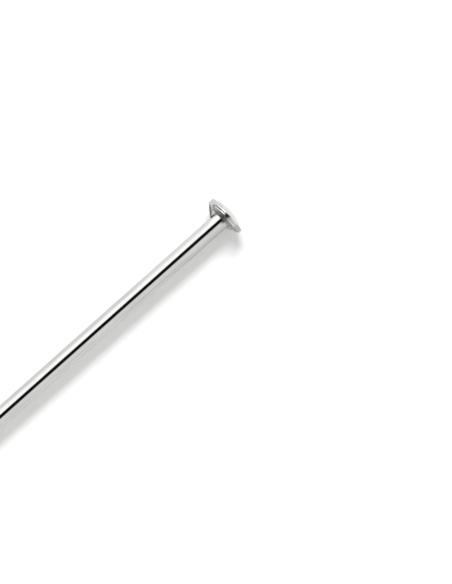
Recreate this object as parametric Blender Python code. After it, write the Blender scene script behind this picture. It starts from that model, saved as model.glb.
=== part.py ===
# Straight pin: drawn steel wire with a ground point, and a formed head seated on its end.
# Metres, +Z up. The pin lies level along X, point at -X and head at +X, centred on its length.
# Z = 0 is the surface that the rim of the head rests on.
import math

import bmesh
import bpy
from mathutils import Vector

MM = 0.001

# Driving dimensions of the whole pin and of the wire
PIN_LENGTH = 30.0 * MM
WIRE_DIAMETER = 0.60 * MM
POINT_LENGTH = 1.55 * MM
TIP_RADIUS = 0.035 * MM

# Driving dimensions of the head, along the pin from the underside's inner edge to the crown
HEAD_DIAMETER = 1.45 * MM
UNDERSIDE_HEIGHT = 0.153 * MM
UNDERSIDE_BULGE = 0.027 * MM
RIM_HEIGHT = 0.114 * MM
RIM_FILLET_RADIUS = 0.042 * MM
DOME_HEIGHT = 0.157 * MM
DOME_BULGE = 0.012 * MM
CROWN_FLAT_DIAMETER = 0.43 * MM

# Driving dimensions of the two fins that the parting gap of the grip dies leaves under the head
LARGE_FIN_LENGTH = 0.235 * MM
LARGE_FIN_RIM_INSET = 0.018 * MM
SMALL_FIN_LENGTH = 0.123 * MM
SMALL_FIN_REACH = 0.20 * MM
FIN_HEEL_RISE = 0.055 * MM
FIN_EDGE_THICKNESS = 0.09 * MM
FIN_FLANK_ANGLE = math.radians(20)

# Driving dimensions of the seat, where the wire ends inside the head
CROWN_THICKNESS = 0.20 * MM
SEAT_CLEARANCE = 0.004 * MM

# Facets: flats round the pin, and steps along each arc of a profile
SIDES = 32
OGIVE_STEPS = 6
TIP_STEPS = 3
UNDERSIDE_STEPS = 4
DOME_STEPS = 4
FILLET_STEPS = 3
WELD_DISTANCE = 0.0001 * MM
SHARP_EDGE_ANGLE = math.radians(28)

# Sizes and places that follow from the driving dimensions
WIRE_RADIUS = WIRE_DIAMETER / 2
HEAD_RADIUS = HEAD_DIAMETER / 2
SOCKET_RADIUS = WIRE_RADIUS + SEAT_CLEARANCE
TIP_X = -PIN_LENGTH / 2
CROWN_X = PIN_LENGTH / 2
RIM_HIGH_X = CROWN_X - DOME_HEIGHT
RIM_LOW_X = RIM_HIGH_X - RIM_HEIGHT
NECK_X = RIM_LOW_X - UNDERSIDE_HEIGHT
SOCKET_FLOOR_X = CROWN_X - CROWN_THICKNESS
WIRE_END_X = SOCKET_FLOOR_X - SEAT_CLEARANCE
AXIS_HEIGHT = HEAD_RADIUS
CORNER_OVER_FLAT = 1 / math.cos(math.pi / SIDES)

# Finishes: colour and roughness of bright nickel plating
WIRE_FINISH = ((0.63, 0.62, 0.60, 1.0), 0.14)
HEAD_FINISH = ((0.60, 0.59, 0.57, 1.0), 0.18)


def point_profile():
    """Blunted tangent ogive: a long arc that leaves the wire's side and runs into a small round tip."""
    tip_centre_x = TIP_X + TIP_RADIUS
    shoulder_x = TIP_X + POINT_LENGTH
    run = shoulder_x - tip_centre_x
    ogive_radius = (run**2 + WIRE_RADIUS**2 - TIP_RADIUS**2) / (2 * (WIRE_RADIUS - TIP_RADIUS))
    sweep = math.atan2(run, ogive_radius - WIRE_RADIUS)
    points = []
    for step in range(TIP_STEPS + 1):
        angle = math.pi / 2 - (math.pi / 2 - sweep) * step / TIP_STEPS
        points.append((tip_centre_x - TIP_RADIUS * math.sin(angle), TIP_RADIUS * math.cos(angle)))
    for step in range(1, OGIVE_STEPS + 1):
        angle = sweep * (1 - step / OGIVE_STEPS)
        radius = WIRE_RADIUS - ogive_radius * (1 - math.cos(angle))
        points.append((shoulder_x - ogive_radius * math.sin(angle), radius))
    return points


def wire_profile():
    """The point, the straight shank and the square end that sits in the head's socket."""
    return point_profile() + [(WIRE_END_X, WIRE_RADIUS), (WIRE_END_X, 0.0)]


def fillet(before, corner, after):
    """Arc that rounds the corner between two straight stretches of a profile."""
    before, corner, after = Vector(before), Vector(corner), Vector(after)
    to_before = (before - corner).normalized()
    to_after = (after - corner).normalized()
    half_angle = to_before.angle(to_after) / 2
    centre = corner + (to_before + to_after).normalized() * RIM_FILLET_RADIUS / math.sin(half_angle)
    outward = (corner - centre).normalized()
    onward = (to_after - to_before).normalized()
    half_sweep = math.pi / 2 - half_angle
    points = []
    for step in range(FILLET_STEPS + 1):
        angle = half_sweep * (2 * step / FILLET_STEPS - 1)
        spoke = outward * math.cos(angle) + onward * math.sin(angle)
        points.append(tuple(centre + spoke * RIM_FILLET_RADIUS))
    return points


def bulged(start, end, bulge, steps):
    """Arc from start to end that stands out from the straight line between them by the bulge."""
    start, end = Vector(start), Vector(end)
    half_chord = (end - start) / 2
    along = half_chord.normalized()
    outward = Vector((-along.y, along.x))
    arc_radius = (half_chord.length_squared + bulge**2) / (2 * bulge)
    centre = (start + end) / 2 - outward * (arc_radius - bulge)
    half_sweep = math.asin(half_chord.length / arc_radius)
    points = []
    for step in range(steps + 1):
        angle = half_sweep * (2 * step / steps - 1)
        spoke = outward * math.cos(angle) + along * math.sin(angle)
        points.append(tuple(centre + spoke * arc_radius))
    return points


def head_profile():
    """Shallow underside that springs from the wire, thin rounded rim, dome and crown flat."""
    rim_low = (RIM_LOW_X, HEAD_RADIUS)
    rim_high = (RIM_HIGH_X, HEAD_RADIUS)
    underside = bulged((NECK_X, WIRE_RADIUS), rim_low, UNDERSIDE_BULGE, UNDERSIDE_STEPS)
    dome = bulged(rim_high, (CROWN_X, CROWN_FLAT_DIAMETER / 2), DOME_BULGE, DOME_STEPS)
    points = [(NECK_X, 0.0)] + underside[:-1]
    points += fillet(underside[-2], rim_low, rim_high)
    points += fillet(rim_low, rim_high, dome[1])
    points += dome[1:]
    points.append((CROWN_X, 0.0))
    return points


def socket_profile():
    """Blind bore for the wire, open towards the point and long enough to clear the fins."""
    mouth_x = NECK_X - HEAD_DIAMETER
    return [
        (mouth_x, 0.0),
        (mouth_x, SOCKET_RADIUS),
        (SOCKET_FLOOR_X, SOCKET_RADIUS),
        (SOCKET_FLOOR_X, 0.0),
    ]


def plating(name, finish):
    """Bright nickel over steel."""
    colour, roughness = finish
    material = bpy.data.materials.new(name)
    material.use_nodes = True
    shader = material.node_tree.nodes["Principled BSDF"]
    shader.inputs["Base Color"].default_value = colour
    shader.inputs["Metallic"].default_value = 1.0
    shader.inputs["Roughness"].default_value = roughness
    return material


def turned(name, profile, axis, material):
    """Spin a profile of (place along the pin, radius) round the pin's axis, with flats on the radius."""
    mesh = bpy.data.meshes.new(name)
    body = bmesh.new()
    start = math.pi / SIDES
    across = Vector((0.0, math.sin(start), math.cos(start))) * CORNER_OVER_FLAT
    ring = [body.verts.new(Vector((x, 0.0, 0.0)) + across * radius) for x, radius in profile]
    line = [body.edges.new(pair) for pair in zip(ring, ring[1:])]
    bmesh.ops.spin(
        body,
        geom=ring + line,
        cent=(0, 0, 0),
        axis=(1, 0, 0),
        angle=2 * math.pi,
        steps=SIDES,
        use_merge=True,
    )
    bmesh.ops.remove_doubles(body, verts=body.verts[:], dist=WELD_DISTANCE)
    bmesh.ops.recalc_face_normals(body, faces=body.faces[:])
    body.to_mesh(mesh)
    body.free()
    mesh.materials.append(material)
    mesh.shade_smooth()
    mesh.set_sharp_from_angle(angle=SHARP_EDGE_ANGLE)
    piece = bpy.data.objects.new(name, mesh)
    piece.parent = axis
    bpy.context.collection.objects.link(piece)
    return piece


def fin(name, side, length, reach, axis):
    """Wedge between the wire and the underside, with a free edge from wire to heel and thicker inwards."""
    inner_radius = WIRE_RADIUS / 2
    tip = Vector((NECK_X - length, WIRE_RADIUS))
    heel = Vector((NECK_X + FIN_HEEL_RISE, reach))
    along = (heel - tip).normalized()
    inwards = Vector((along.y, -along.x))
    start = tip - along * (tip.y - inner_radius) / along.y
    buried_x = (RIM_LOW_X + RIM_HIGH_X) / 2
    outline = [start, heel, Vector((buried_x, reach)), Vector((buried_x, inner_radius))]
    mesh = bpy.data.meshes.new(name)
    body = bmesh.new()
    for corner in outline:
        depth = (corner - tip).dot(inwards)
        half_thickness = FIN_EDGE_THICKNESS / 2 + depth * math.tan(FIN_FLANK_ANGLE)
        for z in (half_thickness, -half_thickness):
            body.verts.new((corner.x, corner.y * side, z))
    bmesh.ops.convex_hull(body, input=body.verts[:])
    bmesh.ops.recalc_face_normals(body, faces=body.faces[:])
    body.to_mesh(mesh)
    body.free()
    form = bpy.data.objects.new(name, mesh)
    form.parent = axis
    bpy.context.collection.objects.link(form)
    return form


def combine(piece, form, operation):
    """Join a form to a piece or cut it away, and keep the form itself as a hidden guide."""
    step = piece.modifiers.new(form.name, "BOOLEAN")
    step.operation = operation
    step.solver = "EXACT"
    step.object = form
    form.hide_render = True
    form.display_type = "WIRE"


def weld(piece):
    """Draw together the corners that the joins and cuts leave on top of each other."""
    step = piece.modifiers.new("weld", "WELD")
    step.merge_threshold = WELD_DISTANCE


for leftover in list(bpy.data.objects):
    bpy.data.objects.remove(leftover, do_unlink=True)

pin_axis = bpy.data.objects.new("pin_axis", None)
pin_axis.location = (0.0, 0.0, AXIS_HEIGHT)
bpy.context.collection.objects.link(pin_axis)

wire_plating = plating("plated_wire", WIRE_FINISH)
head_plating = plating("plated_head", HEAD_FINISH)
turned("wire_shank", wire_profile(), pin_axis, wire_plating)

head = turned("head", head_profile(), pin_axis, head_plating)
large_fin = fin("large_fin_form", 1, LARGE_FIN_LENGTH, HEAD_RADIUS - LARGE_FIN_RIM_INSET, pin_axis)
small_fin = fin("small_fin_form", -1, SMALL_FIN_LENGTH, WIRE_RADIUS + SMALL_FIN_REACH, pin_axis)
socket = turned("socket_cutter", socket_profile(), pin_axis, head_plating)
combine(head, large_fin, "UNION")
combine(head, small_fin, "UNION")
combine(head, socket, "DIFFERENCE")
weld(head)
bpy.context.view_layer.update()
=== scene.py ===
# Straight pin, dressed: polished wire and formed head under soft studio light on a white floor.
# Metres. The pin lies along X with its head at +X, as its solids do.
import math
from collections import namedtuple

import bmesh
import bpy
from mathutils import Matrix, Vector


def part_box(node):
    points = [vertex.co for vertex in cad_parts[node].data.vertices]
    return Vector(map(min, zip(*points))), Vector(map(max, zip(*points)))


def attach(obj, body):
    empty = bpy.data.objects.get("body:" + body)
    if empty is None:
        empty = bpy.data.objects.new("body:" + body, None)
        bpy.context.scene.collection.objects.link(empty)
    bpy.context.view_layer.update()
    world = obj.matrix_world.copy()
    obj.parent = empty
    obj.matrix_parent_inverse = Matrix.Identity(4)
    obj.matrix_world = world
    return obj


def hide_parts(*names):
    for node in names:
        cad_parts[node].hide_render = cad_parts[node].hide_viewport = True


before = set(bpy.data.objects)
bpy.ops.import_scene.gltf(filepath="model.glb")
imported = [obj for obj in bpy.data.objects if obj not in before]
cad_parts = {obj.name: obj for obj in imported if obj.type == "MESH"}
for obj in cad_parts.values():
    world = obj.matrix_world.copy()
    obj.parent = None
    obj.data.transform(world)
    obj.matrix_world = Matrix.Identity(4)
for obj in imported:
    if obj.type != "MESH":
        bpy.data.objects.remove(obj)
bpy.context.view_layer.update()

MM = 0.001

# Forms of a named value: a fin, a stretch over which a level changes, and a round spot
Fin = namedtuple("Fin", "side length reach")
Fade = namedtuple("Fade", "start end start_level end_level", defaults=(0.0, 1.0))
Spot = namedtuple("Spot", "x y inner outer level")

# Sizes read from the solids
wire_low, wire_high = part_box("wire_shank")
head_low, head_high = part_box("head")
HEAD_RADIUS = (head_high.y - head_low.y) / 2
AXIS_HEIGHT = (wire_low.z + wire_high.z) / 2
WIRE_RADIUS = (wire_high.y - wire_low.y) / 2
TIP_X = wire_low.x
WIRE_END_X = wire_high.x
CROWN_X = head_high.x

# Sizes of the point and of the head's profile, which the solids' boxes don't give
POINT_LENGTH = 1.55 * MM
TIP_RADIUS = 0.035 * MM
UNDERSIDE_HEIGHT = 0.153 * MM
UNDERSIDE_BULGE = 0.027 * MM
RIM_HEIGHT = 0.114 * MM
RIM_LOW_ROUNDING = 0.014 * MM
RIM_HIGH_ROUNDING = 0.017 * MM
DOME_HEIGHT = 0.157 * MM
DOME_BULGE = 0.012 * MM
CROWN_FLAT_RADIUS = 0.215 * MM
CROWN_INSET = 0.4 * CROWN_FLAT_RADIUS
SEAT_GAP = 0.001 * MM
NECK_X = CROWN_X - UNDERSIDE_HEIGHT - RIM_HEIGHT - DOME_HEIGHT
RIM_LOW_X = NECK_X + UNDERSIDE_HEIGHT
RIM_HIGH_X = RIM_LOW_X + RIM_HEIGHT

# Groove round the rim, and the rings that keep its edges and the rim's lands crisp
GROOVE_RISE = 0.056 * MM
GROOVE_WIDTH = 0.043 * MM
GROOVE_DEPTH = 0.012 * MM
GROOVE_X = RIM_LOW_X + GROOVE_RISE
RING_GUARD = 0.0015 * MM

# Fins that the gap of the split grip die leaves between the wire and the underside
LARGE_FIN = Fin(side=1, length=0.235 * MM, reach=0.707 * MM)
SMALL_FIN = Fin(side=-1, length=0.123 * MM, reach=0.500 * MM)
FIN_TIP_X = NECK_X - LARGE_FIN.length
FIN_HEEL_RISE = 0.055 * MM
FIN_EDGE_HALF = 0.045 * MM
FIN_FLANK_ANGLE = math.radians(20)
FIN_EDGE_ROUNDING = 0.040 * MM
FIN_BLOCK = 0.4 * MM

# Lip of the rim that forming has drawn down at the large fin, and crest that it has drawn up
LIP_DROP = 0.045 * MM
LIP_SPREAD = 0.50 * MM
LIP_GRIP_Y = 0.75 * HEAD_RADIUS
HEEL_DROP = 0.100 * MM
HEEL_SPREAD = 0.42 * MM
HEEL_GRIP_Y = 0.985 * HEAD_RADIUS
CREST_Y = -0.070 * MM
CREST_RISE = 0.012 * MM
CREST_SPREAD = 0.25 * MM
CREST_GRIP = 0.012 * MM

# Fineness of the turned surfaces
WIRE_SIDES = 128
SHOULDER_GUARD = 0.05 * MM
OGIVE_RINGS = 28
TIP_RINGS = 6
HEAD_SIDES = 256
DOME_RINGS = 12
UNDERSIDE_RINGS = 12
RIM_SEGMENTS = 6
GROOVE_STEPS = 4
FIN_EDGE_SEGMENTS = 4
SMOOTH_ANGLE = math.radians(32)
CUT_TOLERANCE = 0.0001 * MM
SAME_PLACE = 0.0005 * MM
WELD_DISTANCE = 0.001 * MM

# Colours of the wire
BRIGHT_WIRE = (0.582, 0.585, 0.567, 1)
CLOUDED_WIRE = (0.547, 0.549, 0.529, 1)
WORN_WIRE = (0.44, 0.44, 0.42, 1)
# Painted reflection: brighter colour on the wire's +Y side towards the head
PAINTED_REFLECTION_WIRE = (0.62, 0.623, 0.605, 1)
# Painted highlight in the wire's bright band just under the head
PAINTED_HIGHLIGHT_WIRE = (0.71, 0.71, 0.695, 1)
# Painted reflection and shade: dark lines along the wire's lower side
PAINTED_DARK_LINE = (0.26, 0.26, 0.25, 1)
WIRE_PIT = (0.20, 0.19, 0.18, 1)
# Painted shade on the wire under the head and beside the large fin
PAINTED_WIRE_SHADE = (0.07, 0.07, 0.07, 1)

# Colours of the polished dome and rim, the rim's from its -Y end to its +Y end. The changes round
# the rim and the dome's darker +Y side are painted shade and painted reflection.
RIM_END = (0.42, 0.422, 0.41, 1)
RIM_SIDE = (0.61, 0.612, 0.597, 1)
RIM_TOP = (0.44, 0.442, 0.43, 1)
RIM_HEEL = (0.58, 0.582, 0.570, 1)
BRIGHT_DOME = (0.702, 0.700, 0.688, 1)
DOME_HEEL = (0.594, 0.592, 0.580, 1)
DULLED_NICKEL = (0.45, 0.45, 0.43, 1)
SCUFFED_NICKEL = (0.48, 0.48, 0.46, 1)

# Colours of the underside and the fins, each from its darker to its paler mottling
# Scale in painted shade and reflection, for the underside's middle
SHADED_SCALE = (0.165, 0.163, 0.150, 1)
SHADED_SCALE_PALER = (0.272, 0.268, 0.250, 1)
PALE_SCALE = (0.285, 0.280, 0.270, 1)
PALE_SCALE_PALER = (0.435, 0.428, 0.415, 1)
FLASH = (0.46, 0.46, 0.45, 1)
FLASH_PALER = (0.84, 0.84, 0.82, 1)
# Painted dark reflection along the fins' free edges
PAINTED_EDGE_REFLECTION = (0.24, 0.24, 0.23, 1)
# Painted shade in the small fin's crease and in the corner round the wire
PAINTED_CREASE_SHADE = (0.08, 0.08, 0.08, 1)
PAINTED_CORNER_SHADE = (0.10, 0.10, 0.10, 1)
# Painted shade in the groove and the fold, and painted dark reflections on the head's top
PAINTED_HEAD_SHADE = (0.05, 0.05, 0.05, 1)

# Tint of nickel where the eye glances along it
NICKEL_TINT = (0.90, 0.90, 0.90, 1)

# Grain of the finishes, as the lengths of its grains along the three directions
DRAWN_GRAIN = (1.6 * MM, 0.018 * MM, 0.018 * MM)
GROUND_GRAIN = (0.014 * MM, 0.25 * MM, 0.25 * MM)
CLOUD_GRAIN = (0.9 * MM, 0.30 * MM, 0.30 * MM)
PIT_GRAIN = (0.030 * MM, 0.022 * MM, 0.022 * MM)
MOTTLE_GRAIN = (0.07 * MM, 0.07 * MM, 0.07 * MM)
FINE_GRAIN = (0.016 * MM, 0.016 * MM, 0.016 * MM)
SCUFFS_ACROSS = (0.20 * MM, 0.30 * MM, 0.009 * MM)
SCUFFS_UPRIGHT = (0.20 * MM, 0.009 * MM, 0.30 * MM)

# Stretches of that grain over which a finish changes, with its share at both ends
CLOUDED = Fade(0.35, 0.70)
WORN = Fade(0.50, 0.72, 0.0, 0.35)
PITTED = Fade(0.73, 0.80, 0.0, 0.7)
MOTTLED_SCALE = Fade(0.35, 0.65)
MOTTLED_FLASH = Fade(0.38, 0.62)
DULLED = Fade(0.55, 0.75, 0.0, 0.15)
SCUFFED = Fade(0.62, 0.76, 0.0, 0.30)

# Least and most roughness of each finish, and how far its grain stands up
WIRE_ROUGHNESS = (0.065, 0.125)
PIT_ROUGHNESS = 0.25
UNDERSIDE_ROUGHNESS = (0.28, 0.48)
RIM_ROUGHNESS = (0.10, 0.18)
DOME_ROUGHNESS = (0.09, 0.17)
WIRE_RELIEF = 0.00016 * MM
HEAD_RELIEF = 0.002 * MM
RIM_RELIEF_SHARE = 0.40
DOME_RELIEF_SHARE = 0.10

# Marks on the wire, and painted light and shade on it: the stretches along it and across it over
# which each comes or goes
GROUND_POINT = Fade(TIP_X + 0.75 * POINT_LENGTH, TIP_X + 1.05 * POINT_LENGTH, 1.0, 0.0)
# Painted shade on the wire beside the large fin and under the head
FIN_ROOT_HEIGHT = Fade(0.145 * MM, 0.190 * MM, 1.0, 0.0)
FIN_ROOT_ACROSS = Fade(0.215 * MM, 0.245 * MM)
FIN_ROOT_START = Fade(FIN_TIP_X - 0.010 * MM, FIN_TIP_X + 0.015 * MM)
FIN_ROOT_END = Fade(NECK_X - 0.090 * MM, NECK_X - 0.040 * MM, 1.0, 0.65)
FIN_SHADE_START = Fade(0.195 * MM, 0.225 * MM)
FIN_SHADE_END = Fade(0.250 * MM, 0.275 * MM, 1.0, 0.0)
FIN_SHADE_ALONG = Fade(NECK_X - 0.130 * MM, NECK_X, 0.0, 0.55)
NECK_SHADE_START = Fade(-0.17 * MM, -0.11 * MM)
NECK_SHADE_END = Fade(-0.06 * MM, -0.02 * MM, 1.0, 0.0)
NECK_SHADE_ALONG = Fade(NECK_X - 0.140 * MM, NECK_X, 0.0, 0.9)
# Painted highlight in the wire's bright band under the head
HIGHLIGHT_BAND_START = Fade(0.06 * MM, 0.12 * MM)
HIGHLIGHT_BAND_END = Fade(0.225 * MM, 0.255 * MM, 1.0, 0.0)
HIGHLIGHT_BAND_ALONG = Fade(NECK_X - 0.50 * MM, NECK_X - 0.25 * MM)
# Painted reflection on the wire's +Y side
REFLECTION_SIDE_ACROSS = Fade(0.16 * MM, 0.19 * MM)
REFLECTION_SIDE_ALONG = Fade(NECK_X - 4.2 * MM, NECK_X - 2.6 * MM)
# Painted reflection and shade in two dark lines along the wire's lower side
UPPER_LINE_Y = -0.232 * MM
UPPER_LINE_ACROSS = Fade(0.010 * MM, 0.036 * MM, 1.0, 0.0)
UPPER_LINE_ALONG = Fade(NECK_X - 5.0 * MM, NECK_X - 3.5 * MM, 0.08, 0.34)
LOWER_LINE_ACROSS = Fade(-0.280 * MM, -0.264 * MM, 1.0, 0.0)
LOWER_LINE_ALONG = Fade(NECK_X - 3.0 * MM, NECK_X - 1.5 * MM, 0.0, 0.90)

# Dome, rim and heel of the large fin: the stretches over which one finish gives way to the next,
# and over which painted shade and reflection change their colour
UPPER_HALF = Fade(0.0, 0.10 * MM)
DOME_START = Fade(RIM_HIGH_X, RIM_HIGH_X + 0.04 * MM)
# Painted reflection: the dome's colour darkens towards its +Y side
DOME_TO_HEEL = Fade(0.20 * MM, 0.45 * MM)
RIM_START = Fade(RIM_LOW_X - 0.010 * MM, RIM_LOW_X + 0.010 * MM)
RIM_OUTSIDE = Fade(HEAD_RADIUS - 0.045 * MM, HEAD_RADIUS - 0.015 * MM)
# Painted shade and painted reflection: the rim's colour changes round it
RIM_END_TO_SIDE = Fade(-0.50 * MM, -0.42 * MM)
RIM_SIDE_TO_TOP = Fade(-0.27 * MM, -0.15 * MM)
RIM_TOP_TO_HEEL = Fade(0.14 * MM, 0.28 * MM)
# Painted shade: a strip of the rim's lower edge on top left dull over the lamp's highlight
DIMMED_STRIP_START = Fade(-0.16 * MM, -0.06 * MM)
DIMMED_STRIP_END = Fade(0.20 * MM, 0.28 * MM, 1.0, 0.0)
DIMMED_STRIP_ALONG = Fade(RIM_LOW_X + 0.008 * MM, RIM_LOW_X + 0.022 * MM, 0.85, 0.0)
HEEL_ACROSS = Fade(0.30 * MM, 0.50 * MM)
HEEL_OUTSIDE = Fade(0.60 * MM, 0.68 * MM)
# Painted dark reflection on the rim's top
PAINTED_RIM_SPOT = Spot(RIM_LOW_X + 0.105 * MM, -0.097 * MM, 0.018 * MM, 0.055 * MM, 0.88)

# Painted shade in the groove, which lies lower towards the large fin, and in the fold at its heel
GROOVE_FLOOR = Fade(HEAD_RADIUS - 0.030 * MM, HEAD_RADIUS - 0.018 * MM)
GROOVE_BRIM = Fade(HEAD_RADIUS - 0.0030 * MM, HEAD_RADIUS - 0.0010 * MM, 1.0, 0.0)
GROOVE_BELOW_DOME = Fade(RIM_HIGH_X - 0.030 * MM, RIM_HIGH_X - 0.020 * MM, 1.0, 0.0)
GROOVE_ABOVE_LIP = Fade(RIM_LOW_X - 0.004 * MM, RIM_LOW_X + 0.004 * MM, 0.35, 1.0)
LIP_RISE = Fade(0.10 * MM, 0.55 * MM, 0.028 * MM, -0.020 * MM)
GROOVE_START = Fade(-0.05 * MM, 0.10 * MM, 0.12, 1.0)
GROOVE_PALER = Fade(0.20 * MM, 0.30 * MM, 1.0, 0.8)
GROOVE_END = Fade(0.46 * MM, 0.56 * MM, 1.0, 0.0)
FOLD_SHADE = Spot(RIM_LOW_X - 0.045 * MM, 0.505 * MM, 0.020 * MM, 0.060 * MM, 0.7)

# Underside and fins: where painted shade and reflection darken the scale, where torn metal shows,
# where painted reflection darkens the fins' edges and where painted shade lies
# Painted shade and reflection darken the scale in the underside's middle
SHADED_SCALE_START = Fade(-0.22 * MM, 0.05 * MM)
SHADED_SCALE_END = Fade(0.26 * MM, 0.40 * MM, 1.0, 0.0)
# Painted dark reflection on the underside above the wire
PAINTED_UNDERSIDE_SPOT = Spot(NECK_X + 0.105 * MM, 0.033 * MM, 0.015 * MM, 0.045 * MM, 0.6)
FIN_STANDS_UP = Fade(-0.048 * MM, -0.031 * MM, 1.0, 0.0)
SMALL_ROOT_ACROSS = Fade(0.11 * MM, 0.16 * MM)
SMALL_ROOT_ALONG = Fade(NECK_X + 0.035 * MM, NECK_X + 0.070 * MM, 1.0, 0.0)
LARGE_ROOT_ACROSS = Fade(0.24 * MM, 0.30 * MM)
LARGE_ROOT_ALONG = Fade(NECK_X + 0.010 * MM, NECK_X + 0.045 * MM, 1.0, 0.0)
# Painted dark reflection along the fins' free edges
FIN_EDGE_START = Fade(WIRE_RADIUS, WIRE_RADIUS + 0.10 * MM, 0.35, 1.0)
LARGE_EDGE_WIDTH = 0.0375 * MM
LARGE_EDGE_END = Fade(0.56 * MM, 0.63 * MM, 1.0, 0.0)
SMALL_EDGE_WIDTH = 0.016 * MM
SMALL_EDGE_END = Fade(0.45 * MM, 0.49 * MM, 1.0, 0.0)
# Painted shade in the crease at the small fin's root
SMALL_FIN_CREASE = Spot(NECK_X + 0.017 * MM, -0.313 * MM, 0.012 * MM, 0.040 * MM, 0.7)
# Painted shade in the corner round the wire
NECK_CORNER_ACROSS = Fade(-0.10 * MM, 0.15 * MM)
NECK_CORNER_OUT = Fade(WIRE_RADIUS + 0.004 * MM, WIRE_RADIUS + 0.026 * MM, 1.0, 0.0)
BESIDE_FIN = Fade(0.19 * MM, 0.25 * MM, 1.0, 0.2)
ALONG_FIN = Fade(NECK_X - 0.075 * MM, NECK_X - 0.025 * MM, 1.0, 0.0)

# White floor, and the white that it shows to the eye and to the metal beyond what the lamps give
FLOOR_SIZE = 0.6
FLOOR_WHITE = (0.985, 0.985, 0.98, 1)
FLOOR_GLOW = 0.165
WHITE = (1, 1, 1, 1)

# Softbox that throws the shadow, in metres and watts
KEY_TOWARDS = Vector((0.491, 0.589, 1.0))
KEY_DISTANCE = 1.0
KEY_LENGTH = 0.526
KEY_WIDTH = 0.302
KEY_POWER = 6.64

# Even light on the floor, and its change towards +Y
AMBIENT = 0.455
AMBIENT_LEAN = -0.248

# Light tent: its levels by the degrees round the pin from overhead, and the blue of its +Y side
TENT_WALLS = (
    (-90, 0.96), (-70, 1.11), (-25, 1.13),
    (-17.5, 0.004), (17.8, 0.004),
    (24.2, 1.72), (58, 1.72), (78, 1.26), (90, 1.13),
)
TENT_ENDS = (
    (-90, 0.7), (-50, 0.65), (-27, 0.8),
    (-18.5, 0.02), (12, 0.02),
    (20, 0.65), (30, 0.6), (44, 0.12), (90, 0.1),
)
TENT_WALLS_TO_ENDS = Fade(0.38, 0.54)
TENT_BLUE_SIDE = 1.035
HALF_TURN = Fade(-math.pi / 2, math.pi / 2)

# Camera: the photograph's view of the head, in the photograph's pixels
IMAGE_WIDTH = 452
IMAGE_HEIGHT = 584
WIRE_PIXELS = 18
PIXEL = 2 * WIRE_RADIUS / WIRE_PIXELS
HEAD_PIXEL = Vector((226.5, 215.2))
HEAD_PIXEL_FROM_CROWN = 5.9
PIN_SLANT = math.radians(41.71)
LENS = 200.0
SENSOR = 36.0
NEAREST_SEEN = 0.001


# Modelling by hand: start, select, draw out, combine


def start_piece(name):
    """Name the primitive that was just added and open it for editing."""
    piece = bpy.context.object
    piece.name = name
    piece.data.name = name
    bpy.ops.object.transform_apply(location=True, rotation=True, scale=True)
    bpy.ops.object.mode_set(mode="EDIT")
    return piece


def face_outwards():
    """Point all the faces of the open piece outwards and close the edit."""
    bpy.ops.mesh.select_all(action="SELECT")
    bpy.ops.mesh.normals_make_consistent(inside=False)
    bpy.ops.object.mode_set(mode="OBJECT")


def finish_piece():
    """Close the edit and shade the turned surfaces smooth."""
    face_outwards()
    bpy.ops.object.shade_smooth_by_angle(angle=SMOOTH_ANGLE)
    bpy.ops.object.select_all(action="DESELECT")


def select_where(piece, kind, is_wanted):
    """Select the corners, edges or faces that are wanted and not hidden, and nothing else."""
    bpy.ops.mesh.select_mode(type=kind)
    bpy.ops.mesh.select_all(action="DESELECT")
    body = bmesh.from_edit_mesh(piece.data)
    elements = {"VERT": body.verts, "EDGE": body.edges, "FACE": body.faces}[kind]
    for element in elements:
        if not element.hide and is_wanted(element):
            element.select_set(True)
    body.select_flush_mode()
    bmesh.update_edit_mesh(piece.data)


def lies_at(element, x):
    """Whether all the corners of an edge or a face lie at x along the pin."""
    return all(abs(corner.co.x - x) < SAME_PLACE for corner in element.verts)


def select_cap(piece, x):
    """Select the end face that lies square to the pin at x."""
    select_where(piece, "FACE", lambda face: lies_at(face, x))


def select_ring(piece, x):
    """Select the ring of edges that goes round the pin at x."""
    select_where(piece, "EDGE", lambda edge: lies_at(edge, x))


def add_turned_blank(radius, from_x, to_x, sides):
    """A plain rod round the pin's axis, to shape from."""
    bpy.ops.object.select_all(action="DESELECT")
    bpy.ops.mesh.primitive_cylinder_add(
        vertices=sides,
        radius=radius,
        depth=to_x - from_x,
        location=((from_x + to_x) / 2, 0, AXIS_HEIGHT),
        rotation=(0, math.pi / 2, 0),
    )


def cut_ring(x):
    """Add a ring of edges round the open piece at x."""
    bpy.ops.mesh.select_all(action="SELECT")
    bpy.ops.mesh.bisect(
        plane_co=(x, 0, AXIS_HEIGHT),
        plane_no=(1, 0, 0),
        threshold=CUT_TOLERANCE,
    )


def resize_ring(x, ratio):
    """Scale what is selected about the pin's axis at x."""
    bpy.ops.transform.resize(value=(1, ratio, ratio), center_override=(x, 0, AXIS_HEIGHT))


def extrude_by(distance):
    """Extrude what is selected along the pin."""
    bpy.ops.mesh.extrude_region_move(TRANSFORM_OT_translate={"value": (distance, 0, 0)})


def grow_along(profile):
    """Extrude the selected end ring by ring along a profile of places and radii."""
    for (place, radius), (next_place, next_radius) in zip(profile, profile[1:]):
        extrude_by(next_place - place)
        resize_ring(next_place, next_radius / radius)


def hide_faces(piece, is_kept):
    """Put the faces out of reach whose middle isn't one to keep."""
    select_where(piece, "FACE", lambda face: not is_kept(face.calc_center_median()))
    bpy.ops.mesh.hide(unselected=False)


def draw_out(piece, is_gripped, move, spread):
    """Pull the gripped corners out of place, and ease their neighbours after them."""
    select_where(piece, "VERT", lambda corner: is_gripped(corner.co))
    bpy.ops.transform.translate(
        value=move,
        use_proportional_edit=True,
        proportional_edit_falloff="SMOOTH",
        proportional_size=spread,
    )
    bpy.ops.mesh.reveal(select=False)


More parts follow.
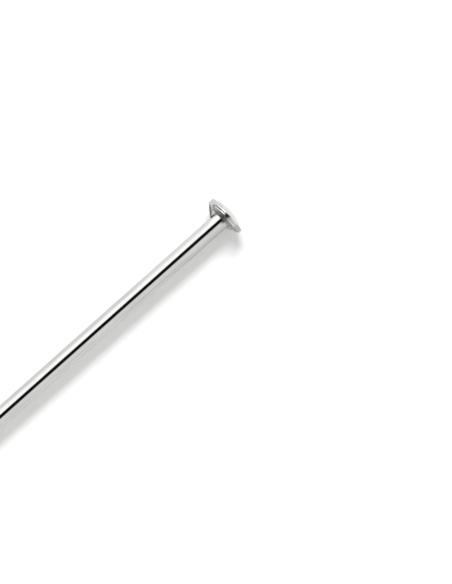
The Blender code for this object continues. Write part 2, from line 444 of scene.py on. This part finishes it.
def combine(piece, form, operation):
    """Join a form to a piece or cut it away for good, and remove the form."""
    step = piece.modifiers.new("combine", "BOOLEAN")
    step.operation = operation
    step.solver = "EXACT"
    step.object = form
    bpy.ops.object.select_all(action="DESELECT")
    bpy.context.view_layer.objects.active = piece
    bpy.ops.object.modifier_apply(modifier=step.name)
    bpy.data.objects.remove(form, do_unlink=True)


# Wire


def point_profile():
    """Places and radii of the ground point: a long arc off the wire, then a small round tip."""
    shoulder_x = TIP_X + POINT_LENGTH
    tip_centre_x = TIP_X + TIP_RADIUS
    run = shoulder_x - tip_centre_x
    ogive_radius = (run**2 + WIRE_RADIUS**2 - TIP_RADIUS**2) / (2 * (WIRE_RADIUS - TIP_RADIUS))
    sweep = math.atan2(run, ogive_radius - WIRE_RADIUS)
    points = []
    for ring in range(OGIVE_RINGS + 1):
        angle = sweep * ring / OGIVE_RINGS
        radius = WIRE_RADIUS - ogive_radius * (1 - math.cos(angle))
        points.append((shoulder_x - ogive_radius * math.sin(angle), radius))
    for ring in range(1, TIP_RINGS):
        angle = sweep + (math.pi / 2 - sweep) * ring / TIP_RINGS
        points.append((tip_centre_x - TIP_RADIUS * math.sin(angle), TIP_RADIUS * math.cos(angle)))
    return points


def make_wire():
    """Drawn wire: a rod whose end is drawn out ring by ring into the ground point."""
    point = point_profile()
    shoulder_x = point[0][0]
    last_ring_x = point[-1][0]
    add_turned_blank(WIRE_RADIUS, shoulder_x, WIRE_END_X, WIRE_SIDES)
    piece = start_piece("pin_wire")
    cut_ring(shoulder_x + SHOULDER_GUARD)
    cut_ring(FIN_TIP_X)
    select_cap(piece, shoulder_x)
    grow_along(point)
    extrude_by(TIP_X - last_ring_x)
    bpy.ops.mesh.merge(type="CENTER")
    finish_piece()
    return piece


# Head


def bulged(start, end, bulge, steps):
    """Places and radii along the arc from start to end that stands out from its chord by bulge."""
    start, end = Vector(start), Vector(end)
    chord = end - start
    outward = Vector((-chord.y, chord.x)).normalized()
    arc_radius = (chord.length_squared / 4 + bulge**2) / (2 * bulge)
    centre = (start + end) / 2 - outward * (arc_radius - bulge)
    half_sweep = math.asin(chord.length / 2 / arc_radius)
    along = chord.normalized()
    points = []
    for step in range(steps + 1):
        angle = half_sweep * (2 * step / steps - 1)
        points.append(centre + (outward * math.cos(angle) + along * math.sin(angle)) * arc_radius)
    return points


def turn_head():
    """Thin rim with a dome above and a shallow bowl below, left open for editing."""
    rim_low = (RIM_LOW_X, HEAD_RADIUS)
    rim_high = (RIM_HIGH_X, HEAD_RADIUS)
    dome = bulged(rim_high, (CROWN_X, CROWN_FLAT_RADIUS), DOME_BULGE, DOME_RINGS)
    underside = bulged((NECK_X, WIRE_RADIUS), rim_low, UNDERSIDE_BULGE, UNDERSIDE_RINGS)
    add_turned_blank(HEAD_RADIUS, RIM_LOW_X, RIM_HIGH_X, HEAD_SIDES)
    piece = start_piece("pin_head")
    select_cap(piece, RIM_HIGH_X)
    grow_along(dome)
    bpy.ops.mesh.inset(thickness=CROWN_INSET)
    select_cap(piece, RIM_LOW_X)
    grow_along(underside[::-1])
    for rim_x, rounding in ((RIM_LOW_X, RIM_LOW_ROUNDING), (RIM_HIGH_X, RIM_HIGH_ROUNDING)):
        select_ring(piece, rim_x)
        bpy.ops.mesh.bevel(offset=rounding, segments=RIM_SEGMENTS, affect="EDGES")
    return piece


def press_groove(piece):
    """Press a fine rounded groove round the rim, where the punch met the grip dies."""
    cut_ring(RIM_LOW_X + RIM_LOW_ROUNDING + RING_GUARD)
    cut_ring(GROOVE_X - GROOVE_WIDTH / 2 - RING_GUARD)
    cut_ring(GROOVE_X + GROOVE_WIDTH / 2 + RING_GUARD)
    cut_ring(RIM_HIGH_X - RIM_HIGH_ROUNDING - RING_GUARD)
    shares = [step / GROOVE_STEPS for step in range(-GROOVE_STEPS, GROOVE_STEPS + 1)]
    for share in shares:
        cut_ring(GROOVE_X + GROOVE_WIDTH / 2 * share)
    for share in shares:
        place = GROOVE_X + GROOVE_WIDTH / 2 * share
        depth = GROOVE_DEPTH * (1 + math.cos(math.pi * share)) / 2
        select_ring(piece, place)
        resize_ring(place, 1 - depth / HEAD_RADIUS)


def push_heel(piece):
    """Draw the rim's lower lip and its groove down at the large fin, most of all at its heel."""
    lip_low_x = RIM_LOW_X - RIM_LOW_ROUNDING
    lip_high_x = GROOVE_X + GROOVE_WIDTH / 2 + RING_GUARD
    drawn_lip_x = lip_low_x - LIP_DROP
    hide_faces(piece, lambda place: lip_low_x < place.x < lip_high_x)
    draw_out(piece, lambda place: place.y > LIP_GRIP_Y, (-LIP_DROP, 0, 0), LIP_SPREAD)
    hide_faces(piece, lambda place: place.x < lip_high_x)
    draw_out(
        piece,
        lambda place: place.y > HEEL_GRIP_Y and place.x > drawn_lip_x,
        (LIP_DROP - HEEL_DROP, 0, 0),
        HEEL_SPREAD,
    )


def raise_crest(piece):
    """Draw the top of the rim out of round by a hair, as pressed rims are."""
    rim_from_x = RIM_LOW_X - RIM_LOW_ROUNDING
    rim_to_x = RIM_HIGH_X + RIM_HIGH_ROUNDING
    hide_faces(piece, lambda place: rim_from_x < place.x < rim_to_x)
    draw_out(
        piece,
        lambda place: place.z > AXIS_HEIGHT and abs(place.y - CREST_Y) < CREST_GRIP,
        (0, 0, CREST_RISE),
        CREST_SPREAD,
    )


def fin_line(fin):
    """Tip and heel of a fin's free edge, along the pin and out from its axis, and its direction."""
    tip = Vector((NECK_X - fin.length, WIRE_RADIUS))
    heel = Vector((NECK_X + FIN_HEEL_RISE, fin.reach))
    return tip, heel, (heel - tip).normalized()


def select_upright(piece, x, y):
    """Select the corners that stand above each other at x and y."""
    select_where(
        piece,
        "VERT",
        lambda corner: abs(corner.co.x - x) < SAME_PLACE and abs(corner.co.y - y) < SAME_PLACE,
    )


def select_edge_between(piece, start, end, side):
    """Select the two edges that run between two corners of a fin's outline."""

    def joins_both(edge):
        places = [Vector((corner.co.x, corner.co.y * side)) for corner in edge.verts]
        near_start = min((place - start).length for place in places)
        near_end = min((place - end).length for place in places)
        return near_start < SAME_PLACE and near_end < SAME_PLACE

    select_where(piece, "EDGE", joins_both)


def fin_outline(fin):
    """Where the four corners of a block go to make a fin, by the end and the side they are on."""
    inner_radius = WIRE_RADIUS / 2
    buried_x = (RIM_LOW_X + RIM_HIGH_X) / 2
    tip, heel, along = fin_line(fin)
    return {
        (-1, -1): tip - along * (tip.y - inner_radius) / along.y,
        (-1, 1): heel,
        (1, 1): Vector((buried_x, fin.reach)),
        (1, -1): Vector((buried_x, inner_radius)),
    }


def make_fin(fin):
    """Wedge that the parting gap of the grip dies leaves between the wire and the underside."""
    half_block = FIN_BLOCK / 2
    tip, _, along = fin_line(fin)
    inwards = Vector((along.y, -along.x))
    outline = fin_outline(fin)
    bpy.ops.object.select_all(action="DESELECT")
    bpy.ops.mesh.primitive_cube_add(
        size=FIN_BLOCK,
        location=(NECK_X, fin.side * WIRE_RADIUS, AXIS_HEIGHT),
    )
    piece = start_piece("fin")
    for (end, out), corner in outline.items():
        block_x = NECK_X + end * half_block
        block_y = fin.side * (WIRE_RADIUS + out * half_block)
        fin_y = fin.side * corner.y
        depth = (corner - tip).dot(inwards)
        half_thickness = FIN_EDGE_HALF + depth * math.tan(FIN_FLANK_ANGLE)
        select_upright(piece, block_x, block_y)
        bpy.ops.transform.translate(value=(corner.x - block_x, fin_y - block_y, 0))
        bpy.ops.transform.resize(
            value=(1, 1, half_thickness / half_block),
            center_override=(corner.x, fin_y, AXIS_HEIGHT),
        )
        bpy.ops.mesh.hide(unselected=False)
    bpy.ops.mesh.reveal(select=False)
    select_edge_between(piece, outline[-1, -1], outline[-1, 1], fin.side)
    bpy.ops.mesh.bevel(offset=FIN_EDGE_ROUNDING, segments=FIN_EDGE_SEGMENTS, affect="EDGES")
    face_outwards()
    return piece


def make_bore():
    """Rod the size of the wire's seat, to cut the socket with."""
    from_x = NECK_X - 2 * LARGE_FIN.length
    add_turned_blank(WIRE_RADIUS + SEAT_GAP, from_x, WIRE_END_X + SEAT_GAP, HEAD_SIDES)
    bpy.ops.object.transform_apply(location=True, rotation=True, scale=True)
    return bpy.context.object


def make_head():
    """Formed head: the turned form with its pressed marks, two fins and a socket for the wire."""
    piece = turn_head()
    press_groove(piece)
    push_heel(piece)
    raise_crest(piece)
    face_outwards()
    combine(piece, make_fin(LARGE_FIN), "UNION")
    combine(piece, make_fin(SMALL_FIN), "UNION")
    combine(piece, make_bore(), "DIFFERENCE")
    bpy.ops.object.select_all(action="DESELECT")
    piece.select_set(True)
    bpy.context.view_layer.objects.active = piece
    bpy.ops.object.mode_set(mode="EDIT")
    bpy.ops.mesh.select_all(action="SELECT")
    bpy.ops.mesh.remove_doubles(threshold=WELD_DISTANCE)
    finish_piece()
    return piece


# Building blocks of the finishes


def add_node(tree, kind, **settings):
    """Add one node and set its options."""
    node = tree.nodes.new(kind)
    for name, value in settings.items():
        setattr(node, name, value)
    return node


def feed(tree, socket, source):
    """Give a socket a fixed value, or a link from another node."""
    if isinstance(source, bpy.types.NodeSocket):
        tree.links.new(source, socket)
    else:
        socket.default_value = source


def calculate(tree, operation, first, second=0.0, third=0.0):
    """One sum on up to three numbers."""
    node = add_node(tree, "ShaderNodeMath", operation=operation)
    for socket, source in zip(node.inputs, (first, second, third)):
        feed(tree, socket, source)
    return node.outputs[0]


def both(tree, first, second):
    """Where two areas overlap."""
    return calculate(tree, "MULTIPLY", first, second)


def either(tree, first, second):
    """Where at least one of two areas is."""
    return calculate(tree, "MAXIMUM", first, second)


def away_from(tree, value, middle):
    """How far a value is from a middle, whichever way."""
    return calculate(tree, "ABSOLUTE", calculate(tree, "SUBTRACT", value, middle))


def distance(tree, across, along):
    """Straight distance over two sides that are square to each other."""
    along_square = calculate(tree, "MULTIPLY", along, along)
    square = calculate(tree, "MULTIPLY_ADD", across, across, along_square)
    return calculate(tree, "SQRT", square)


def graded(tree, value, fade, shape="SMOOTHSTEP"):
    """Level that changes while a value runs through a fade."""
    node = add_node(tree, "ShaderNodeMapRange", interpolation_type=shape)
    feed(tree, node.inputs["Value"], value)
    node.inputs["From Min"].default_value = fade.start
    node.inputs["From Max"].default_value = fade.end
    node.inputs["To Min"].default_value = fade.start_level
    node.inputs["To Max"].default_value = fade.end_level
    return node.outputs["Result"]


def area(tree, *limits):
    """Area within all of its limits, each of them a value and the fade that it runs through."""
    levels = [graded(tree, value, fade) for value, fade in limits]
    inside = levels[0]
    for level in levels[1:]:
        inside = both(tree, inside, level)
    return inside


def spotted(tree, x, y, spot):
    """Round spot that goes out between its two radii."""
    off_x = calculate(tree, "SUBTRACT", x, spot.x)
    off_y = calculate(tree, "SUBTRACT", y, spot.y)
    fade = Fade(spot.inner, spot.outer, spot.level, 0.0)
    return graded(tree, distance(tree, off_x, off_y), fade)


def varied(tree, noise, least, most):
    """Level from least to most, as a noise has it."""
    return calculate(tree, "MULTIPLY_ADD", noise, most - least, least)


def grain(tree, place, lengths, detail=3.0):
    """Noise whose grains have a length of their own in each direction."""
    stretch = add_node(tree, "ShaderNodeVectorMath", operation="DIVIDE")
    feed(tree, stretch.inputs[0], place)
    stretch.inputs[1].default_value = lengths
    noise = add_node(tree, "ShaderNodeTexNoise")
    feed(tree, noise.inputs["Vector"], stretch.outputs[0])
    noise.inputs["Scale"].default_value = 1.0
    noise.inputs["Detail"].default_value = detail
    return noise.outputs[0]


def blend(tree, share, first, second):
    """Number between two others."""
    node = add_node(tree, "ShaderNodeMix", data_type="FLOAT")
    for index, source in ((0, share), (2, first), (3, second)):
        feed(tree, node.inputs[index], source)
    return node.outputs[0]


def blend_colour(tree, share, first, second):
    """Colour between two others."""
    node = add_node(tree, "ShaderNodeMix", data_type="RGBA")
    for index, source in ((0, share), (6, first), (7, second)):
        feed(tree, node.inputs[index], source)
    return node.outputs[2]


def start_finish(name):
    """Metal shader, and the place on the piece split into its three directions."""
    material = bpy.data.materials.new(name)
    material.use_nodes = True
    tree = material.node_tree
    shader = tree.nodes["Principled BSDF"]
    shader.inputs["Metallic"].default_value = 1.0
    shader.inputs["Specular Tint"].default_value = NICKEL_TINT
    place = add_node(tree, "ShaderNodeTexCoord").outputs["Object"]
    split = add_node(tree, "ShaderNodeSeparateXYZ")
    feed(tree, split.inputs[0], place)
    return material, tree, shader, place, split.outputs


def roughen(tree, shader, height, depth):
    """Let a height from 0 to 1 stand up from the surface by a depth."""
    bump = add_node(tree, "ShaderNodeBump")
    bump.inputs["Strength"].default_value = 1.0
    bump.inputs["Distance"].default_value = depth
    feed(tree, bump.inputs["Height"], height)
    feed(tree, shader.inputs["Normal"], bump.outputs[0])


# Finish of the wire


def fin_root(tree, x, y, z):
    """Where painted shade darkens the corner between the wire and the root of the large fin."""
    height = away_from(tree, z, AXIS_HEIGHT)
    return area(
        tree,
        (height, FIN_ROOT_HEIGHT),
        (y, FIN_ROOT_ACROSS),
        (x, FIN_ROOT_START),
        (x, FIN_ROOT_END),
    )


def fin_shade(tree, x, y):
    """Where painted shade darkens the wire beside the large fin, more so towards the underside."""
    return area(tree, (y, FIN_SHADE_START), (y, FIN_SHADE_END), (x, FIN_SHADE_ALONG))


def painted_neck_shade(tree, x, y):
    """Where painted shade darkens the wire just under the head, on the side away from the large
    fin.
    """
    return area(tree, (y, NECK_SHADE_START), (y, NECK_SHADE_END), (x, NECK_SHADE_ALONG))


def painted_highlight_band(tree, x, y):
    """Where a painted highlight widens the wire's bright band just under the head."""
    return area(tree, (y, HIGHLIGHT_BAND_START), (y, HIGHLIGHT_BAND_END), (x, HIGHLIGHT_BAND_ALONG))


def painted_reflection_side(tree, x, y):
    """Where a painted reflection makes the wire brighter towards the head, on the large fin's side.
    """
    return area(tree, (y, REFLECTION_SIDE_ACROSS), (x, REFLECTION_SIDE_ALONG))


def painted_dark_lines(tree, x, y):
    """Where two faint dark lines of painted reflection and shade run along the wire's lower side,
    clearer towards the head.
    """
    off_line = away_from(tree, y, UPPER_LINE_Y)
    upper = area(tree, (off_line, UPPER_LINE_ACROSS), (x, UPPER_LINE_ALONG))
    lower = area(tree, (y, LOWER_LINE_ACROSS), (x, LOWER_LINE_ALONG))
    return either(tree, upper, lower)


def painted_wire_shade(tree, x, y, z):
    """Where painted shade darkens the wire under the head."""
    beside_fin = either(tree, fin_root(tree, x, y, z), fin_shade(tree, x, y))
    return either(tree, beside_fin, painted_neck_shade(tree, x, y))


def wire_finish():
    """Bright nickel on drawn wire: lines along it, faint clouds, small pits and a ground point.
    Painted highlight, reflection and shade lie on it near the head.
    """
    material, tree, shader, place, (x, y, z) = start_finish("plated_wire")
    drawn = grain(tree, place, DRAWN_GRAIN)
    ground = grain(tree, place, GROUND_GRAIN)
    marks = blend(tree, graded(tree, x, GROUND_POINT), drawn, ground)
    clouded = graded(tree, grain(tree, place, CLOUD_GRAIN), CLOUDED)
    pits = graded(tree, grain(tree, place, PIT_GRAIN, detail=1.0), PITTED)
    colour = blend_colour(tree, clouded, BRIGHT_WIRE, CLOUDED_WIRE)
    colour = blend_colour(tree, graded(tree, marks, WORN), colour, WORN_WIRE)
    colour = blend_colour(tree, painted_reflection_side(tree, x, y), colour, PAINTED_REFLECTION_WIRE)
    colour = blend_colour(tree, painted_dark_lines(tree, x, y), colour, PAINTED_DARK_LINE)
    colour = blend_colour(tree, pits, colour, WIRE_PIT)
    colour = blend_colour(tree, painted_highlight_band(tree, x, y), colour, PAINTED_HIGHLIGHT_WIRE)
    colour = blend_colour(tree, painted_wire_shade(tree, x, y, z), colour, PAINTED_WIRE_SHADE)
    feed(tree, shader.inputs["Base Color"], colour)
    polish = varied(tree, marks, *WIRE_ROUGHNESS)
    roughness = calculate(tree, "MULTIPLY_ADD", pits, PIT_ROUGHNESS, polish)
    feed(tree, shader.inputs["Roughness"], roughness)
    roughen(tree, shader, marks, WIRE_RELIEF)
    return material


# Finish of the head


def polished_area(tree, x, y, radius):
    """Where polishing has reached: the dome, most of the rim and the heel of the large fin. A strip
    of the rim's lower edge on top is left dull and darker, which is painted shade over the lamp's
    highlight there.
    """
    on_rim = either(tree, graded(tree, x, RIM_START), graded(tree, radius, RIM_OUTSIDE))
    # Dull strip on the rim's lower edge: painted shade over the lamp's highlight
    dimmed_strip = area(tree, (y, DIMMED_STRIP_START), (y, DIMMED_STRIP_END), (x, DIMMED_STRIP_ALONG))
    on_rim = both(tree, on_rim, calculate(tree, "SUBTRACT", 1.0, dimmed_strip))
    heel = area(tree, (y, HEEL_ACROSS), (radius, HEEL_OUTSIDE))
    return either(tree, on_rim, heel)


def polished_colour(tree, y, on_dome, fine, scuffs):
    """Bright nickel of the rim and the dome, finely dulled all over and scuffed on the dome, with
    painted shade and painted reflection in its changes round the rim and towards the dome's +Y
    side.
    """
    scuffed = both(tree, graded(tree, scuffs, SCUFFED), on_dome)
    rim = blend_colour(tree, graded(tree, y, RIM_END_TO_SIDE), RIM_END, RIM_SIDE)
    rim = blend_colour(tree, graded(tree, y, RIM_SIDE_TO_TOP), rim, RIM_TOP)
    rim = blend_colour(tree, graded(tree, y, RIM_TOP_TO_HEEL), rim, RIM_HEEL)
    dome = blend_colour(tree, graded(tree, y, DOME_TO_HEEL), BRIGHT_DOME, DOME_HEEL)
    colour = blend_colour(tree, on_dome, rim, dome)
    colour = blend_colour(tree, graded(tree, fine, DULLED), colour, DULLED_NICKEL)
    return blend_colour(tree, scuffed, colour, SCUFFED_NICKEL)


def scale_colour(tree, y, mottle):
    """Mottled scale of the underside, darker in its middle, where the darkening is painted shade
    and painted reflection.
    """
    mottled = graded(tree, mottle, MOTTLED_SCALE)
    middle = area(tree, (y, SHADED_SCALE_START), (y, SHADED_SCALE_END))
    dark = blend_colour(tree, mottled, SHADED_SCALE, SHADED_SCALE_PALER)
    pale = blend_colour(tree, mottled, PALE_SCALE, PALE_SCALE_PALER)
    return blend_colour(tree, middle, pale, dark)


def fin_edge_reflection(tree, x, out, fin, width, edge_end):
    """Where a painted dark reflection runs along the free edge of a fin, from the wire out to where
    it ends.
    """
    tip, _, along = fin_line(fin)
    start = tip.x * along.y - tip.y * along.x
    off_line = calculate(tree, "MULTIPLY_ADD", out, -along.x, -start)
    depth = calculate(tree, "MULTIPLY_ADD", x, along.y, off_line)
    outermost = Fade(width, 2 * width, 1.0, 0.0)
    return area(tree, (depth, outermost), (out, FIN_EDGE_START), (out, edge_end))


def flash_colour(tree, x, y, small_side, mottle):
    """Pale torn metal of the fins, with a painted dark reflection along their free edges."""
    mottled = graded(tree, mottle, MOTTLED_FLASH)
    large_edge = fin_edge_reflection(tree, x, y, LARGE_FIN, LARGE_EDGE_WIDTH, LARGE_EDGE_END)
    small_edge = fin_edge_reflection(tree, x, small_side, SMALL_FIN, SMALL_EDGE_WIDTH, SMALL_EDGE_END)
    flash = blend_colour(tree, mottled, FLASH, FLASH_PALER)
    return blend_colour(tree, either(tree, large_edge, small_edge), flash, PAINTED_EDGE_REFLECTION)


def flash_area(tree, x, y, small_side, radius):
    """Where the fins stand up from the underside, and where they run into it."""
    slope = UNDERSIDE_HEIGHT / (HEAD_RADIUS - WIRE_RADIUS)
    underside_x = calculate(tree, "MULTIPLY_ADD", radius, slope, NECK_X - slope * WIRE_RADIUS)
    below = calculate(tree, "SUBTRACT", x, underside_x)
    small_root = area(tree, (small_side, SMALL_ROOT_ACROSS), (x, SMALL_ROOT_ALONG))
    large_root = area(tree, (y, LARGE_ROOT_ACROSS), (x, LARGE_ROOT_ALONG))
    roots = either(tree, small_root, large_root)
    return either(tree, graded(tree, below, FIN_STANDS_UP), roots)


def neck_corner(tree, x, y, radius):
    """Where painted shade darkens the underside, in the corner round the wire."""
    near_wire = area(tree, (y, NECK_CORNER_ACROSS), (radius, NECK_CORNER_OUT))
    by_fin = either(tree, graded(tree, y, BESIDE_FIN), graded(tree, x, ALONG_FIN))
    return both(tree, near_wire, by_fin)


def unpolished_colour(tree, x, y, radius, mottle):
    """Scale on the underside and torn metal on the fins, with painted shade in the crease and in
    the corner.
    """
    small_side = calculate(tree, "MULTIPLY", y, SMALL_FIN.side)
    scale = scale_colour(tree, y, mottle)
    flash = flash_colour(tree, x, y, small_side, mottle)
    colour = blend_colour(tree, flash_area(tree, x, y, small_side, radius), scale, flash)
    colour = blend_colour(tree, spotted(tree, x, y, SMALL_FIN_CREASE), colour, PAINTED_CREASE_SHADE)
    return blend_colour(tree, neck_corner(tree, x, y, radius), colour, PAINTED_CORNER_SHADE)


def round_radius(tree, y, radius, on_top):
    """Radius of the rim as it was before its crest was drawn out."""
    off_crest = away_from(tree, y, CREST_Y)
    crest = graded(tree, off_crest, Fade(0.0, CREST_SPREAD, CREST_RISE, 0.0))
    return calculate(tree, "SUBTRACT", radius, both(tree, crest, on_top))


def painted_groove_shade(tree, x, y, radius):
    """Where painted shade darkens the groove, most of all near the fold at the large fin."""
    above_lip = calculate(tree, "SUBTRACT", x, graded(tree, y, LIP_RISE))
    in_groove = area(
        tree,
        (radius, GROOVE_FLOOR),
        (radius, GROOVE_BRIM),
        (x, GROOVE_BELOW_DOME),
        (above_lip, GROOVE_ABOVE_LIP),
        (y, GROOVE_START),
        (y, GROOVE_PALER),
        (y, GROOVE_END),
    )
    return either(tree, in_groove, spotted(tree, x, y, FOLD_SHADE))


def painted_dark_spots(tree, x, y, on_top):
    """Where two painted dark reflections show on the head's top, one on the underside and one on
    the rim.
    """
    dark_spots = either(tree, spotted(tree, x, y, PAINTED_UNDERSIDE_SPOT), spotted(tree, x, y, PAINTED_RIM_SPOT))
    return both(tree, dark_spots, on_top)


def head_finish():
    """Bright nickel on the dome and rim, dull and darker where no polishing reaches, with painted
    shade in the groove, crease and corner and painted reflections on the rim, fin edges and
    underside.
    """
    material, tree, shader, place, (x, y, z) = start_finish("plated_head")
    height = calculate(tree, "SUBTRACT", z, AXIS_HEIGHT)
    radius = distance(tree, y, height)
    on_top = graded(tree, height, UPPER_HALF)
    on_dome = graded(tree, x, DOME_START)
    mottle = grain(tree, place, MOTTLE_GRAIN, detail=4.0)
    fine = grain(tree, place, FINE_GRAIN, detail=2.0)
    scuffs = either(
        tree,
        grain(tree, place, SCUFFS_ACROSS),
        grain(tree, place, SCUFFS_UPRIGHT),
    )
    polished = polished_area(tree, x, y, radius)
    in_groove = painted_groove_shade(tree, x, y, round_radius(tree, y, radius, on_top))
    # Painted shade in the groove and the fold, and painted dark reflections
    painted_darkening = either(tree, in_groove, painted_dark_spots(tree, x, y, on_top))
    dull = unpolished_colour(tree, x, y, radius, mottle)
    bright = polished_colour(tree, y, on_dome, fine, scuffs)
    colour = blend_colour(tree, polished, dull, bright)
    colour = blend_colour(tree, painted_darkening, colour, PAINTED_HEAD_SHADE)
    feed(tree, shader.inputs["Base Color"], colour)
    dull_level = varied(tree, mottle, *UNDERSIDE_ROUGHNESS)
    rim_level = varied(tree, mottle, *RIM_ROUGHNESS)
    dome_level = varied(tree, fine, *DOME_ROUGHNESS)
    bright_level = blend(tree, on_dome, rim_level, dome_level)
    feed(tree, shader.inputs["Roughness"], blend(tree, polished, dull_level, bright_level))
    fine_and_scuffs = calculate(tree, "ADD", fine, scuffs)
    dome_relief = calculate(tree, "MULTIPLY", fine_and_scuffs, DOME_RELIEF_SHARE)
    rim_relief = calculate(tree, "MULTIPLY", mottle, RIM_RELIEF_SHARE)
    bright_relief = blend(tree, on_dome, rim_relief, dome_relief)
    roughen(tree, shader, blend(tree, polished, mottle, bright_relief), HEAD_RELIEF)
    return material


# Floor, light and camera


def make_floor():
    """Plain white table under the pin."""
    bpy.ops.mesh.primitive_plane_add(size=FLOOR_SIZE, location=(0, 0, 0))
    floor = bpy.context.object
    floor.name = "floor"
    material = bpy.data.materials.new("white_table")
    material.use_nodes = True
    tree = material.node_tree
    shader = tree.nodes["Principled BSDF"]
    shader.inputs["Base Color"].default_value = FLOOR_WHITE
    shader.inputs["Roughness"].default_value = 1.0
    shader.inputs["Specular IOR Level"].default_value = 0.0
    shader.inputs["Emission Color"].default_value = WHITE
    paths = add_node(tree, "ShaderNodeLightPath").outputs
    seen = either(tree, paths["Is Camera Ray"], paths["Is Glossy Ray"])
    glow = calculate(tree, "MULTIPLY", seen, FLOOR_GLOW)
    feed(tree, shader.inputs["Emission Strength"], glow)
    floor.data.materials.append(material)


def angle_ramp(tree, share, stops):
    """Level of the tent by its share of the half turn over the pin, from -Y to +Y."""
    ramp = add_node(tree, "ShaderNodeValToRGB")
    feed(tree, ramp.inputs["Fac"], share)
    elements = ramp.color_ramp.elements
    while len(elements) < len(stops):
        elements.new(0.5)
    for element, (degrees, level) in zip(elements, stops):
        blue = level * TENT_BLUE_SIDE if degrees > 0 else level
        element.position = (degrees + 90) / 180
        element.color = (level, level, blue, 1)
    return ramp.outputs["Color"]


def lit_by(tree, colour, strength=1.0):
    """Light of one colour and strength from all round."""
    light = add_node(tree, "ShaderNodeBackground")
    feed(tree, light.inputs["Color"], colour)
    feed(tree, light.inputs["Strength"], strength)
    return light.outputs[0]


def choose_light(tree, share, first, second):
    """The first light, or the second one for the rays that are meant."""
    choice = add_node(tree, "ShaderNodeMixShader")
    for socket, source in zip(choice.inputs, (share, first, second)):
        feed(tree, socket, source)
    return choice.outputs[0]


def make_light_tent():
    """White tent round the pin, open along a slot overhead, with a brighter +Y side."""
    world = bpy.data.worlds.new("light_tent")
    bpy.context.scene.world = world
    world.use_nodes = True
    tree = world.node_tree
    tree.nodes.clear()
    paths = add_node(tree, "ShaderNodeLightPath").outputs
    split = add_node(tree, "ShaderNodeSeparateXYZ")
    feed(tree, split.inputs[0], add_node(tree, "ShaderNodeTexCoord").outputs["Generated"])
    x, y, z = split.outputs
    angle = calculate(tree, "ARCTAN2", y, z)
    share = graded(tree, angle, HALF_TURN, shape="LINEAR")
    past_walls = graded(tree, away_from(tree, x, 0.0), TENT_WALLS_TO_ENDS)
    walls = angle_ramp(tree, share, TENT_WALLS)
    ends = angle_ramp(tree, share, TENT_ENDS)
    tent = lit_by(tree, blend_colour(tree, past_walls, walls, ends))
    lean = calculate(tree, "MULTIPLY_ADD", y, AMBIENT_LEAN, AMBIENT)
    ambient = lit_by(tree, WHITE, lean)
    white = lit_by(tree, WHITE)
    on_metal = choose_light(tree, paths["Is Glossy Ray"], ambient, tent)
    seen = choose_light(tree, paths["Is Camera Ray"], on_metal, white)
    output = add_node(tree, "ShaderNodeOutputWorld")
    feed(tree, output.inputs["Surface"], seen)


def make_key_light():
    """Softbox above the top of the picture, its long side along the pin, for the pin's shadow."""
    towards = KEY_TOWARDS.normalized()
    along = (Vector((1, 0, 0)) - towards * towards.x).normalized()
    across = towards.cross(along)
    data = bpy.data.lights.new("key_light", "AREA")
    data.shape = "RECTANGLE"
    data.size = KEY_LENGTH
    data.size_y = KEY_WIDTH
    data.energy = KEY_POWER
    key = bpy.data.objects.new("key_light", data)
    bpy.context.scene.collection.objects.link(key)
    turn = Matrix((along, across, towards)).transposed()
    key.matrix_world = Matrix.Translation(towards * KEY_DISTANCE) @ turn.to_4x4()
    key.visible_camera = False


def make_camera():
    """Straight overhead, turned so that the pin runs as in the photograph."""
    back = Vector((0, 0, 1))
    right = Vector((math.cos(PIN_SLANT), -math.sin(PIN_SLANT), 0))
    up = back.cross(right)
    head_point = Vector((CROWN_X - HEAD_PIXEL_FROM_CROWN * PIXEL, 0, AXIS_HEIGHT))
    off_right = IMAGE_WIDTH / 2 - HEAD_PIXEL.x
    off_up = HEAD_PIXEL.y - IMAGE_HEIGHT / 2
    aim = head_point + (right * off_right + up * off_up) * PIXEL
    distance_back = IMAGE_HEIGHT * PIXEL * LENS / SENSOR
    data = bpy.data.cameras.new("camera")
    data.lens = LENS
    data.sensor_width = SENSOR
    data.clip_start = NEAREST_SEEN
    camera = bpy.data.objects.new("camera", data)
    bpy.context.scene.collection.objects.link(camera)
    turn = Matrix((right, up, back)).transposed()
    camera.matrix_world = Matrix.Translation(aim + back * distance_back) @ turn.to_4x4()
    bpy.context.scene.camera = camera


wire = make_wire()
wire.data.materials.append(wire_finish())
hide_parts("wire_shank")
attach(wire, "root")

head = make_head()
head.data.materials.append(head_finish())
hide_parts("head")
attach(head, "root")

make_floor()
make_light_tent()
make_key_light()
make_camera()
bpy.context.scene.view_settings.view_transform = "Standard"
